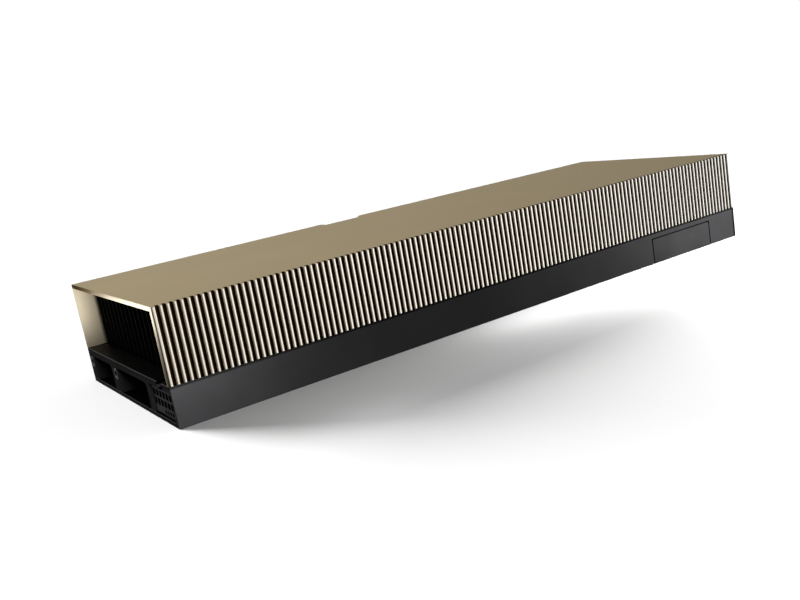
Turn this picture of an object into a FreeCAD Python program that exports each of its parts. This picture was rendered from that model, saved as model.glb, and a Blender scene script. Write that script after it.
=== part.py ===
import FreeCAD, Part
import Sketcher
import os
import math

# Passive accelerator card for a server, dual slot, full height, 267.7 mm long.
# Millimetres. +X runs along the card from the air inlet and power socket end
# to the bracket end, +Y runs from the ribbed front edge to the edge connector,
# +Z goes up from the backplate to the shroud. The origin is the middle of the
# card's box, on the surface it lies on.

doc = FreeCAD.newDocument("accelerator_card")

# --------------------------------------------------------------- dimensions
# Distances along the card are counted from its inlet end (left_x), distances
# across it from its front face (front_y), heights from the underside.
TABLE = [
    # overall
    ("left_x", -133.85), ("front_y", -55.575),
    ("card_length", 267.7), ("card_depth", 111.15), ("card_height", 38.0),
    ("body_depth", 94.6), ("base_height", 13.2),
    # shroud
    ("top_thick", 1.5), ("front_wall", 2.4), ("back_wall", 1.5), ("shroud_round", 1.45),
    ("rib_pitch", 2.165), ("rib_first", 0.71), ("groove_count", 123), ("groove_wide", 1.065),
    ("groove_deep", 1.75), ("groove_round", 0.6), ("rib_nose", 0.42), ("rib_end_round", 0.45),
    ("lip_start", 15.0), ("lip_end", 208.0), ("lip_back", 252.5), ("lip_stop", 257.0), ("lip_front", 1.68), ("lip_low", 11.2),
    ("corner_boss_start", 258.0), ("corner_boss_wide", 5.5), ("corner_boss_tall", 6.0),
    # latch notch in the back wall
    ("notch_left", 106.9), ("notch_right", 123.0), ("notch_mouth", 127.4), ("notch_floor", 88.6),
    # base frame
    ("frame_end", 266.5), ("frame_wall", 1.6), ("frame_round", 0.4), ("block_deep", 14.0), ("block_top", 12.0),
    ("socket_front", 1.6), ("socket_back", 22.6), ("socket_top", 11.0),
    ("recess_front", 24.9), ("recess_back", 57.3), ("recess_top", 10.7), ("recess_round", 1.8),
    ("pocket_front", 64.2), ("pocket_back", 86.7),
    ("latch_front", 8.0), ("latch_back", 13.2), ("latch_deep", 3.6),
    ("board_slot_start", 103.9), ("board_slot_top", 4.6),
    ("boss_start", 258.0), ("boss_wide", 6.0), ("boss_low", 4.9),
    ("tab_wide", 8.0), ("tab_thick", 1.5), ("tab_low", 9.0), ("tab_top", 18.2), ("tab_hole_z", 15.8),
    ("tab_one", 30.0), ("tab_two", 85.0), ("tab_three", 160.0), ("tab_four", 235.0),
    # bridge cover
    ("cover_left", 212.2), ("cover_right", 249.3), ("cover_top", 10.4), ("cover_gap", 0.5),
    ("cover_thick", 1.4), ("cover_round", 0.8),
    # heatsink
    ("floor_thick", 1.2), ("floor_end", 266.4), ("floor_front", 2.55), ("floor_back", 91.35),
    ("ear_deep", 5.0), ("ear_front", 1.65), ("ear_back", 92.95),
    ("fin_first", 4.95), ("fin_pitch", 4.87), ("fin_count", 18), ("fin_thick", 0.5),
    ("fin_start", 6.5), ("fin_end", 256.0), ("fin_top", 36.2),
    ("fin_gap_start", 103.4), ("fin_gap_end", 132.5), ("fin_gap_front", 85.5),
    ("chamber_left", 111.0), ("chamber_right", 203.0), ("chamber_front", 4.8), ("chamber_back", 86.2),
    ("chamber_low", 7.0), ("chamber_top", 10.0),
    # bottom
    ("back_thick", 1.5), ("backplate_end", 266.4), ("backplate_front", 1.7), ("backplate_back", 92.9),
    ("backplate_step", 103.8), ("backplate_notch", 86.5), ("backplate_tail", 133.0), ("backplate_far", 100.5),
    ("film_thick", 0.2),
    # circuit board
    ("board_low", 2.9), ("board_thick", 1.57), ("board_left", 15.3), ("board_right", 264.5),
    ("board_front", 2.2), ("board_back", 92.6), ("board_edge", 102.9), ("board_step", 104.1),
    ("tongue_right", 221.25), ("tongue_left", 136.05), ("key_right", 209.6), ("key_left", 207.7), ("key_floor", 103.6),
    ("hook_right", 132.55), ("hook_left", 127.6), ("hook_tip", 123.6), ("hook_low", 109.4), ("hook_neck", 106.6),
    ("sense_cut", 17.0), ("sense_cut_front", 4.0), ("sense_cut_back", 12.7),
    ("contact_start", 105.05), ("contact_end", 110.55), ("contact_wide", 0.7), ("contact_thick", 0.05),
    ("contact_long_first", 136.9), ("contact_long_count", 71), ("contact_short_first", 210.4), ("contact_short_count", 11),
    ("contact_pitch", 1.0),
    # processor and memory
    ("package_left", 131.0), ("package_front", 20.0), ("package_size", 52.0), ("package_thick", 1.7),
    ("die_left", 142.0), ("die_front", 33.0), ("die_long", 30.0), ("die_wide", 26.0),
    ("chip_long", 14.0), ("chip_wide", 12.0), ("chip_thick", 1.1),
    ("chip_west", 112.5), ("chip_east", 187.5), ("chip_column", 14.0), ("chip_column_pitch", 13.0),
    ("chip_row", 133.0), ("chip_row_pitch", 17.0), ("chip_south", 6.0), ("chip_north", 74.0),
    ("screw_west", 129.6), ("screw_east", 184.4), ("screw_south", 12.0), ("screw_north", 80.0),
    # power stage
    ("choke_one", 74.0), ("choke_two", 92.0), ("choke_three", 211.0), ("choke_long", 10.0), ("choke_wide", 7.5),
    ("choke_tall", 6.0), ("choke_first", 7.0), ("choke_pitch", 9.8), ("choke_count", 8),
    ("stage_one", 68.0), ("stage_two", 86.0), ("stage_three", 222.5), ("stage_long", 5.0), ("stage_wide", 6.0), ("stage_tall", 0.9),
    ("block_one", 58.0), ("block_two", 230.0), ("block_long", 7.3), ("block_wide", 4.3), ("block_tall", 2.8),
    # power header
    ("header_front", 2.9), ("header_back", 21.1), ("header_low", 1.9), ("header_top", 10.4),
    ("header_start", 0.6), ("header_end", 15.0), ("way_first", 4.5), ("way_pitch", 3.0), ("way_size", 2.3),
    ("way_deep", 10.0), ("way_high", 8.75), ("way_row", 5.75), ("pin_size", 1.0), ("pin_start", 2.6),
    ("sense_first", 5.0), ("sense_pitch", 2.2), ("sense_size", 1.4), ("sense_z", 3.25), ("sense_pin", 0.6),
    # fasteners
    ("insert_one", 60.0), ("insert_two", 90.5), ("insert_z", 8.0), ("insert_r_out", 2.1), ("insert_r_in", 1.25), ("insert_long", 6.0),
    ("small_head_r", 1.9), ("small_shank_r", 0.8), ("small_hole_r", 0.85), ("small_neck_r", 1.0), ("small_head_deep", 1.0),
    ("plate_screw_y_one", 4.6), ("plate_screw_y_two", 90.0), ("plate_screw_low", 9.0),
    ("plate_screw_y_three", 5.2), ("plate_screw_y_four", 90.3), ("plate_screw_high", 33.4),
    ("bracket_hole_r", 1.25), ("bracket_hole_one", 20.0), ("bracket_hole_two", 75.0), ("bracket_hole_z", 7.0),
    ("vent_first", 9.4), ("vent_pitch", 5.8), ("vent_wide", 3.4), ("vent_low", 16.2), ("vent_top", 30.0), ("vent_count", 14),
    ("post_one", 24.0), ("post_two", 108.0), ("post_three", 207.0), ("post_four", 252.0),
    ("post_front", 9.0), ("post_back", 82.0), ("post_flats", 5.0), ("post_bore_r", 1.2),
    ("spacer_r", 2.6), ("board_hole_r", 1.35), ("long_head_r", 2.3), ("long_shank_r", 1.15),
    ("clamp_head_r", 2.75), ("clamp_shank_r", 1.0), ("clamp_hole_r", 1.5),
]

sheet = doc.addObject("Spreadsheet::Sheet", "Dims")
for row, (alias, value) in enumerate(TABLE, start=1):
    sheet.set("A%d" % row, alias)
    sheet.set("B%d" % row, str(value))
    sheet.setAlias("B%d" % row, alias)
doc.recompute()


class Len:
    """A length that carries both its value and its formula over the sheet."""

    def __init__(self, value, text):
        self.value = float(value)
        self.text = text

    def __add__(self, other):
        other = as_len(other)
        return Len(self.value + other.value, "(%s + %s)" % (self.text, other.text))

    def __sub__(self, other):
        other = as_len(other)
        return Len(self.value - other.value, "(%s - %s)" % (self.text, other.text))

    def __mul__(self, other):
        other = as_len(other)
        return Len(self.value * other.value, "(%s * %s)" % (self.text, other.text))

    def __neg__(self):
        return Len(-self.value, "(0 - %s)" % self.text)


def as_len(v):
    if isinstance(v, Len):
        return v
    return Len(v, repr(float(v)))


def S(alias):
    return Len(float(getattr(sheet, alias)), "Dims.%s" % alias)


def X(v):
    """Distance from the inlet end to a row coordinate."""
    return S("left_x") + (S(v) if isinstance(v, str) else v)


def Y(v):
    """Distance from the front face to a row coordinate."""
    return S("front_y") + (S(v) if isinstance(v, str) else v)


def Z(v):
    return S(v) if isinstance(v, str) else as_len(v)


def bind(obj, prop, length):
    obj.setExpression(prop, as_len(length).text)


# ------------------------------------------------------- PartDesign helpers
def new_body(label):
    body = doc.addObject("PartDesign::Body", label)
    body.Label = label
    return body


def origin_of(body, role):
    for feature in body.Origin.OriginFeatures:
        if feature.Role == role:
            return feature
    raise RuntimeError(role)


def new_sketch(body, name, role, offset):
    sk = body.newObject("Sketcher::SketchObject", name)
    sk.AttachmentSupport = [(origin_of(body, role), "")]
    sk.MapMode = "FlatFace"
    bind(sk, "AttachmentOffset.Base.z", offset)
    return sk


def outline(sk, points, arcs=None):
    """Closed outline through points; arcs = {edge number: (radius, bulge side)}."""
    arcs = arcs or {}
    vs = [FreeCAD.Vector(as_len(a).value, as_len(b).value, 0) for a, b in points]
    n = len(vs)
    ids = []
    ends = []
    for i in range(n):
        p, q = vs[i], vs[(i + 1) % n]
        if i in arcs:
            radius, side = arcs[i]
            r = as_len(radius).value
            mid = (p + q) * 0.5
            chord = q - p
            half = chord.Length * 0.5
            nrm = FreeCAD.Vector(-chord.y, chord.x, 0)
            nrm.normalize()
            centre = mid - nrm * (math.sqrt(max(r * r - half * half, 0.0)) * side)
            u, v = p - centre, q - centre
            at_p, at_q = math.atan2(u.y, u.x), math.atan2(v.y, v.x)
            circle = Part.Circle(centre, FreeCAD.Vector(0, 0, 1), r)
            # arcs run counter-clockwise, so note which end is p
            if u.x * v.y - u.y * v.x > 0:
                arc = Part.ArcOfCircle(circle, at_p, at_q if at_q > at_p else at_q + 2 * math.pi)
                ends.append((1, 2))
            else:
                arc = Part.ArcOfCircle(circle, at_q, at_p if at_p > at_q else at_p + 2 * math.pi)
                ends.append((2, 1))
            ids.append(sk.addGeometry(arc, False))
        else:
            ids.append(sk.addGeometry(Part.LineSegment(p, q), False))
            ends.append((1, 2))
    for i in range(n):
        j = (i + 1) % n
        sk.addConstraint(Sketcher.Constraint("Coincident", ids[i], ends[i][1], ids[j], ends[j][0]))
    for i, (a, b) in enumerate(points):
        c = sk.addConstraint(Sketcher.Constraint("DistanceX", -1, 1, ids[i], ends[i][0], vs[i].x))
        sk.setExpression("Constraints[%d]" % c, as_len(a).text)
        c = sk.addConstraint(Sketcher.Constraint("DistanceY", -1, 1, ids[i], ends[i][0], vs[i].y))
        sk.setExpression("Constraints[%d]" % c, as_len(b).text)
    for i in arcs:
        c = sk.addConstraint(Sketcher.Constraint("Radius", ids[i], as_len(arcs[i][0]).value))
        sk.setExpression("Constraints[%d]" % c, as_len(arcs[i][0]).text)


def circles(sk, items):
    for a, b, r in items:
        a, b, r = as_len(a), as_len(b), as_len(r)
        g = sk.addGeometry(Part.Circle(FreeCAD.Vector(a.value, b.value, 0), FreeCAD.Vector(0, 0, 1), r.value), False)
        c = sk.addConstraint(Sketcher.Constraint("DistanceX", -1, 1, g, 3, a.value))
        sk.setExpression("Constraints[%d]" % c, a.text)
        c = sk.addConstraint(Sketcher.Constraint("DistanceY", -1, 1, g, 3, b.value))
        sk.setExpression("Constraints[%d]" % c, b.text)
        c = sk.addConstraint(Sketcher.Constraint("Radius", g, r.value))
        sk.setExpression("Constraints[%d]" % c, r.text)


def rect(a0, b0, a1, b1):
    return [(a0, b0), (a1, b0), (a1, b1), (a0, b1)]


def draw(body, name, role, offset, shapes):
    """shapes: list of point lists, ('arc', points, arcs) or ('circles', items)."""
    sk = new_sketch(body, name, role, offset)
    for shape in shapes:
        if isinstance(shape, tuple) and shape[0] == "circles":
            circles(sk, shape[1])
        elif isinstance(shape, tuple) and shape[0] == "arc":
            outline(sk, shape[1], shape[2])
        else:
            outline(sk, shape)
    return sk


def pad(body, name, role, start, length, shapes):
    """Material from the plane at start, along its normal, for length."""
    sk = draw(body, name + "_sketch", role, start, shapes)
    f = body.newObject("PartDesign::Pad", name)
    f.Profile = sk
    bind(f, "Length", length)
    before = body_volume(body, f)
    doc.recompute()
    if not f.Shape.Volume > before + 1e-6:
        raise RuntimeError("pad %s added nothing" % name)
    return f


def pocket(body, name, role, start, length, shapes, reverse=False):
    """Cut from the plane at start, against its normal (along it if reverse)."""
    sk = draw(body, name + "_sketch", role, start, shapes)
    f = body.newObject("PartDesign::Pocket", name)
    f.Profile = sk
    f.Reversed = reverse
    bind(f, "Length", length)
    before = body_volume(body, f)
    doc.recompute()
    if not f.Shape.Volume < before - 1e-6:
        raise RuntimeError("pocket %s removed nothing" % name)
    return f


def body_volume(body, feature):
    base = feature.BaseFeature
    return base.Shape.Volume if base is not None else 0.0


def down(body, name, top, bottom, shapes):
    """Cut seen from above, from height top to height bottom."""
    return pocket(body, name, "XY_Plane", top, as_len(top) - bottom, shapes)


def up(body, name, bottom, top, shapes):
    """Block seen from above, from height bottom to height top."""
    return pad(body, name, "XY_Plane", bottom, as_len(top) - bottom, shapes)


def along(body, name, x_from, x_to, shapes, cut=True):
    """Sketch across the card (Y, Z), cut or block from x_from to x_to."""
    x_from, x_to = as_len(x_from), as_len(x_to)
    if cut:
        return pocket(body, name, "YZ_Plane", x_to, x_to - x_from, shapes)
    return pad(body, name, "YZ_Plane", x_from, x_to - x_from, shapes)


def across(body, name, y_from, y_to, shapes, cut=True):
    """Sketch on the front (X, Z), cut or block from y_from to y_to."""
    y_from, y_to = as_len(y_from), as_len(y_to)
    if cut:
        # the XZ plane's normal is -Y, and a pocket runs against it
        return pocket(body, name, "XZ_Plane", -y_from, y_to - y_from, shapes)
    return pad(body, name, "XZ_Plane", -y_to, y_to - y_from, shapes)


def pattern(body, name, features, axis, pitch, count, axis2=None, pitch2=None, count2=None):
    f = body.newObject("PartDesign::LinearPattern", name)
    f.Originals = features
    f.Direction = (origin_of(body, axis), [""])
    count = as_len(count)
    bind(f, "Occurrences", count)
    bind(f, "Length", as_len(pitch) * (count - 1))
    if axis2:
        f.Direction2 = (origin_of(body, axis2), [""])
        count2 = as_len(count2)
        bind(f, "Occurrences2", count2)
        bind(f, "Length2", as_len(pitch2) * (count2 - 1))
    body.Tip = f
    doc.recompute()
    return f


def pick(shape, test):
    names = []
    for i, e in enumerate(shape.Edges, start=1):
        a, b = e.Vertexes[0].Point, e.Vertexes[-1].Point
        if test(a, b):
            names.append("Edge%d" % i)
    return names


def near(a, b, tol=1e-4):
    return abs(a - b) < tol


def dress(body, name, kind, base, edges, prop, size):
    if not edges:
        raise RuntimeError("no edge for %s" % name)
    f = body.newObject(kind, name)
    f.Base = (base, edges)
    bind(f, prop, size)
    doc.recompute()
    return f


# ------------------------------------------------------------- Part helpers
def place(obj, x, y, z):
    bind(obj, "Placement.Base.x", x)
    bind(obj, "Placement.Base.y", y)
    bind(obj, "Placement.Base.z", z)


def block(name, x, y, z, dx, dy, dz):
    b = doc.addObject("Part::Box", name)
    bind(b, "Length", dx)
    bind(b, "Width", dy)
    bind(b, "Height", dz)
    place(b, x, y, z)
    return b


def turn_to(obj, axis):
    if axis == "X":
        obj.Placement = FreeCAD.Placement(FreeCAD.Vector(0, 0, 0), FreeCAD.Rotation(FreeCAD.Vector(0, 1, 0), 90))
    elif axis == "-X":
        obj.Placement = FreeCAD.Placement(FreeCAD.Vector(0, 0, 0), FreeCAD.Rotation(FreeCAD.Vector(0, 1, 0), -90))
    elif axis == "-Y":
        obj.Placement = FreeCAD.Placement(FreeCAD.Vector(0, 0, 0), FreeCAD.Rotation(FreeCAD.Vector(1, 0, 0), 90))
    elif axis == "Y":
        obj.Placement = FreeCAD.Placement(FreeCAD.Vector(0, 0, 0), FreeCAD.Rotation(FreeCAD.Vector(1, 0, 0), -90))


def rod(name, x, y, z, r, length, axis="Z"):
    c = doc.addObject("Part::Cylinder", name)
    bind(c, "Radius", r)
    bind(c, "Height", length)
    turn_to(c, axis)
    place(c, x, y, z)
    return c


def taper(name, x, y, z, r1, r2, length, axis="Z"):
    c = doc.addObject("Part::Cone", name)
    bind(c, "Radius1", r1)
    bind(c, "Radius2", r2)
    bind(c, "Height", length)
    turn_to(c, axis)
    place(c, x, y, z)
    return c


def fuse(name, parts):
    f = doc.addObject("Part::MultiFuse", name)
    f.Shapes = parts
    return f


def cut(name, base, tools):
    c = doc.addObject("Part::Cut", name)
    c.Base = base
    c.Tool = tools[0] if len(tools) == 1 else fuse(name + "_tools", tools)
    return c


def group(name, parts):
    c = doc.addObject("Part::Compound", name)
    c.Links = parts
    return c


NODES = []


def node(obj, label):
    obj.Label = label
    NODES.append((label, obj))
    return obj


# ------------------------------------------------------------------- levels
H = S("card_height")
BH = S("base_height")
FT = S("block_top")                      # underside of the duct floor
BT = S("back_thick")                     # top of the backplate
PB = S("board_low")
PT = S("board_low") + S("board_thick")   # component side of the board
W = S("body_depth")
LEN = S("card_length")
OVER = 1.0                               # how far a cutter stands past a face

POSTS = [(X(a), Y(b)) for a in ("post_one", "post_two", "post_three", "post_four") for b in ("post_front", "post_back")]
CLAMPS = [(X(a), Y(b)) for a in ("screw_west", "screw_east") for b in ("screw_south", "screw_north")]


def notch_outline(grow_x, wall):
    """Outline of the body seen from above, with the latch notch in its back edge."""
    return [
        (X(0), Y(0)), (grow_x, Y(0)), (grow_x, Y("body_depth")),
        (X("notch_mouth"), Y("body_depth")), (X("notch_right"), Y("notch_floor")),
        (X("notch_left"), Y("notch_floor")), (X("notch_left"), Y("body_depth")),
        (X(0), Y("body_depth")),
    ]


def inner_outline(x_start, x_end, front, wall):
    """Hollow inside the walls: the wall steps in around the latch notch."""
    wall = as_len(wall)
    back = Y(W - wall)
    floor_ = Y(S("notch_floor") - wall)
    return [
        (x_start, front), (x_end, front), (x_end, back),
        (X(S("notch_mouth") + wall * 0.47), back), (X(S("notch_right") + wall * 0.53), floor_),
        (X(S("notch_left") - wall), floor_), (X(S("notch_left") - wall), back),
        (x_start, back),
    ]


# ------------------------------------------------------------------- shroud
# One gold anodised cover: top plate, ribbed front wall, plain back wall.
b = new_body("shroud_body")
f = up(b, "shroud_blank", BH, H, [rect(X(0), Y(0), X("card_length"), Y("body_depth"))])
yb = Y("body_depth").value
edges = pick(f.Shape, lambda p, q: near(p.y, yb) and near(q.y, yb) and (
    (near(p.z, H.value) and near(q.z, H.value)) or near(p.x, q.x)))
dress(b, "shroud_rounding", "PartDesign::Fillet", f, edges, "Radius", S("shroud_round"))
down(b, "latch_notch", H + OVER, BH - OVER, [[
    (X("notch_left"), Y(W + OVER)), (X("notch_left"), Y("notch_floor")), (X("notch_right"), Y("notch_floor")),
    (X(S("notch_mouth") + 0.72), Y(W + OVER))]])
down(b, "duct", H - S("top_thick"), BH - OVER,
     [inner_outline(X(-OVER), X(LEN + OVER), Y("front_wall"), S("back_wall"))])
r = S("rib_end_round")
along(b, "rib_tops", X(-OVER), X(LEN + OVER), [("arc", [
    (Y(-OVER), H - r), (Y(0), H - r), (Y(0) + r, H), (Y(0) + r, H + OVER), (Y(-OVER), H + OVER)],
    {1: (r, 1)})])
along(b, "rib_feet", X(-OVER), X(LEN + OVER), [("arc", [
    (Y(-OVER), BH - OVER), (Y(0) + r, BH - OVER), (Y(0) + r, BH), (Y(0), BH + r), (Y(-OVER), BH + r)],
    {2: (r, 1)})])
up(b, "front_lip", S("lip_low"), BH + 2.0, [
    rect(X("lip_start"), Y("lip_front"), X("lip_end"), Y("front_wall")),
    rect(X("lip_back"), Y("lip_front"), X("lip_stop"), Y("front_wall"))])
along(b, "corner_bosses", X("corner_boss_start"), X("frame_end"), [
    rect(Y(S("front_wall") - 0.2), H - S("top_thick") - S("corner_boss_tall"), Y(S("front_wall") + S("corner_boss_wide")), H - S("top_thick") + 0.2),
    rect(Y(W - S("back_wall") - S("corner_boss_wide")), H - S("top_thick") - S("corner_boss_tall"), Y(W - S("back_wall") + 0.2), H - S("top_thick") + 0.2)],
    cut=False)
along(b, "corner_tappings", X("corner_boss_start"), X(S("frame_end") + 0.01), [("circles", [
    (Y("plate_screw_y_three"), S("plate_screw_high"), S("small_hole_r")),
    (Y("plate_screw_y_four"), S("plate_screw_high"), S("small_hole_r"))])])
hw = S("groove_wide") * 0.5
gx = X(S("rib_first") + S("rib_pitch") * 0.5)
nose = S("rib_nose")
gd = S("groove_deep")
gr = S("groove_round")
rise = gr.value - math.sqrt(gr.value ** 2 - hw.value ** 2)
groove = down(b, "groove", H + OVER, BH - OVER, [("arc", [
    (gx - hw - nose, Y(-0.4)), (gx - hw - nose, Y(0)), (gx - hw, Y(0) + nose), (gx - hw, Y(gd) - rise),
    (gx + hw, Y(gd) - rise), (gx + hw, Y(0) + nose), (gx + hw + nose, Y(0)), (gx + hw + nose, Y(-0.4))],
    {1: (nose, -1), 3: (gr, 1), 5: (nose, -1)})])
pattern(b, "grooves", [groove], "X_Axis", S("rib_pitch"), S("groove_count"))
down(b, "inlet_corner", H + OVER, BH - OVER, [("arc", [
    (X(-OVER), Y(-OVER)), (X(0) + nose, Y(-OVER)), (X(0) + nose, Y(0)), (X(0), Y(0) + nose), (X(-OVER), Y(0) + nose)],
    {2: (nose, 1)})])
cones = []
for i, t in enumerate(("tab_one", "tab_two", "tab_three", "tab_four")):
    cones.append(taper("shroud_sink_%d" % i, X(t), Y(W + 0.001), S("tab_hole_z"), S("small_head_r") + 0.05,
                       S("small_neck_r"), S("small_head_deep"), "-Y"))
    cones.append(rod("shroud_hole_%d" % i, X(t), Y(W + 0.5), S("tab_hole_z"), S("small_neck_r"), 3.0, "-Y"))
node(cut("shroud", b, cones), "shroud")

# --------------------------------------------------------------- base frame
b = new_body("frame_body")
up(b, "frame_blank", Z(0), BH, [notch_outline(X("frame_end"), None)])
down(b, "frame_inside", BH + OVER, Z(-OVER), [inner_outline(X("block_deep"), X(S("frame_end") + OVER), Y("frame_wall"), S("frame_wall"))])
down(b, "floor_seat", BH + OVER, FT, [rect(X(-OVER), Y("frame_wall"), X(S("block_deep") + OVER), Y(W - S("frame_wall")))])
down(b, "backplate_seat", BT, Z(-OVER), [rect(X(-OVER), Y("frame_wall"), X(S("block_deep") + OVER), Y(W - S("frame_wall")))])
f = along(b, "end_openings", X(-OVER), X(S("block_deep") + OVER), [
    rect(Y("socket_front"), BT - 0.5, Y("socket_back"), S("socket_top")),
    rect(Y("recess_front"), BT - 0.5, Y("recess_back"), S("recess_top")),
    rect(Y("pocket_front"), BT - 0.5, Y("pocket_back"), S("recess_top"))])
ys = [Y(n).value for n in ("recess_front", "recess_back", "pocket_front", "pocket_back")]
rt = S("recess_top").value
edges = pick(f.Shape, lambda p, q: near(p.z, rt) and near(q.z, rt) and near(p.y, q.y) and any(near(p.y, v) for v in ys))
dress(b, "opening_rounds", "PartDesign::Fillet", f, edges, "Radius", S("recess_round"))
down(b, "latch_slot", FT + OVER, S("socket_top") - 0.5, [rect(X(-OVER), Y("latch_front"), X("latch_deep"), Y("latch_back"))])
down(b, "board_slot", S("board_slot_top"), Z(-OVER), [rect(X("board_slot_start"), Y(80.0), X(S("frame_end") + OVER), Y(W + OVER))])
across(b, "cover_opening", Y(-OVER), Y(S("frame_wall") + 0.3), [
    rect(X(S("cover_left") - S("cover_gap")), Z(-OVER), X(S("cover_right") + S("cover_gap")), S("cover_top") + S("cover_gap"))])
up(b, "end_bosses", S("boss_low"), FT - 0.05, [
    rect(X("boss_start"), Y(S("frame_wall") - 0.3), X("frame_end"), Y(S("frame_wall") + S("boss_wide"))),
    rect(X("boss_start"), Y(W - S("frame_wall") - S("boss_wide")), X("frame_end"), Y(W - S("frame_wall") + 0.3))])
up(b, "screw_tabs", S("tab_low"), S("tab_top"), [
    rect(X(S(t) - S("tab_wide") * 0.5), Y(W - S("frame_wall") - S("tab_thick")), X(S(t) + S("tab_wide") * 0.5), Y(W - S("frame_wall")))
    for t in ("tab_one", "tab_two", "tab_three", "tab_four")])
across(b, "tab_tappings", Y(W - S("frame_wall") - S("tab_thick") - 0.5), Y(W - S("frame_wall") + 0.5), [("circles", [
    (X(t), S("tab_hole_z"), S("small_hole_r")) for t in ("tab_one", "tab_two", "tab_three", "tab_four")])])
along(b, "boss_tappings", X(S("boss_start") - 0.5), X(S("frame_end") + 0.5), [("circles", [
    (Y("plate_screw_y_one"), S("plate_screw_low"), S("small_hole_r")),
    (Y("plate_screw_y_two"), S("plate_screw_low"), S("small_hole_r"))])])
f = along(b, "insert_seats", X(-OVER), X(S("insert_long") + 2.0), [("circles", [
    (Y("insert_one"), S("insert_z"), S("insert_r_out")), (Y("insert_two"), S("insert_z"), S("insert_r_out"))])])
x0 = X(0).value
edges = pick(f.Shape, lambda p, q: near(p.x, x0) and near(q.x, x0) and near(p.y, yb) and near(q.y, yb) and not near(p.z, q.z))
f = dress(b, "frame_corner", "PartDesign::Fillet", f, edges, "Radius", S("shroud_round"))
yf = Y(0).value
bh = BH.value
edges = pick(f.Shape, lambda p, q: near(p.y, yf) and near(q.y, yf) and (
    (near(p.x, x0) and near(q.x, x0) and not near(p.z, q.z)) or (near(p.z, bh) and near(q.z, bh) and not near(p.x, q.x))))
dress(b, "front_corner", "PartDesign::Fillet", f, edges, "Radius", S("frame_round"))
node(b, "base_frame")

# ------------------------------------------------------------- bridge cover
b = new_body("cover_body")
f = across(b, "cover_panel", Y(0), Y("cover_thick"), [rect(X("cover_left"), Z(0), X("cover_right"), S("cover_top"))], cut=False)
ct = S("cover_top").value
edges = pick(f.Shape, lambda p, q: near(p.z, ct) and near(q.z, ct) and near(p.x, q.x))
dress(b, "cover_rounds", "PartDesign::Fillet", f, edges, "Radius", S("cover_round"))
up(b, "cover_arms", Z(5.4), Z(9.4), [
    [(X(S("cover_left") + 0.6), Y(S("cover_thick") - 0.2)), (X(S("cover_left") + 2.2), Y(S("cover_thick") - 0.2)),
     (X(S("cover_left") + 2.2), Y(3.6)), (X(S("cover_left") + 0.6), Y(3.6)),
     (X(S("cover_left") - 1.3), Y(1.9)), (X(S("cover_left") + 0.6), Y(1.9))],
    [(X(S("cover_right") - 2.2), Y(S("cover_thick") - 0.2)), (X(S("cover_right") - 0.6), Y(S("cover_thick") - 0.2)),
     (X(S("cover_right") - 0.6), Y(1.9)), (X(S("cover_right") + 1.3), Y(1.9)),
     (X(S("cover_right") - 0.6), Y(3.6)), (X(S("cover_right") - 2.2), Y(3.6))]])
node(b, "bridge_cover")

# ------------------------------------------------------- heatsink, one plate
b = new_body("floor_body")
up(b, "floor_plate", FT, BH, [[
    (X(0), Y("ear_front")), (X("ear_deep"), Y("ear_front")), (X("ear_deep"), Y("floor_front")),
    (X("floor_end"), Y("floor_front")), (X("floor_end"), Y("floor_back")),
    (X(S("notch_mouth") + 1.7), Y("floor_back")), (X(S("notch_right") + 2.5), Y(S("notch_floor") - 3.1)),
    (X(S("notch_left") - 3.1), Y(S("notch_floor") - 3.1)), (X(S("notch_left") - 3.1), Y("floor_back")),
    (X("ear_deep"), Y("floor_back")), (X("ear_deep"), Y("ear_back")), (X(0), Y("ear_back"))]])
down(b, "latch_notch_floor", BH + OVER, FT - OVER, [rect(X(-OVER), Y("latch_front"), X("latch_deep"), Y("latch_back"))])
up(b, "chamber_boss", S("chamber_top"), FT + 0.1, [rect(X("chamber_left"), Y("chamber_front"), X("chamber_right"), Y("chamber_back"))])
down(b, "clamp_tappings", S("chamber_top") + 2.5, S("chamber_top") - OVER, [("circles", [(x, y, S("clamp_shank_r") + 0.05) for x, y in CLAMPS])])
down(b, "post_seats", FT + 0.8, FT - OVER, [("circles", [(x, y, Z(1.65)) for x, y in POSTS])])
node(b, "heatsink_base")

b = new_body("fin_body")
f = up(b, "fin", BH, S("fin_top"), [rect(X("fin_start"), Y("fin_first"), X("fin_end"), Y(S("fin_first") + S("fin_thick")))])
pattern(b, "fins", [f], "Y_Axis", S("fin_pitch"), S("fin_count"))
down(b, "fin_relief", S("fin_top") + OVER, BH - OVER, [rect(X("fin_gap_start"), Y("fin_gap_front"), X("fin_gap_end"), Y("body_depth"))])
node(b, "cooling_fins")

b = new_body("chamber_body")
up(b, "chamber", S("chamber_low"), S("chamber_top"), [rect(X("chamber_left"), Y("chamber_front"), X("chamber_right"), Y("chamber_back"))])
down(b, "chamber_holes", S("chamber_top") + OVER, S("chamber_low") - OVER, [("circles", [(x, y, S("clamp_hole_r")) for x, y in CLAMPS])])
node(b, "vapour_chamber")

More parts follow.
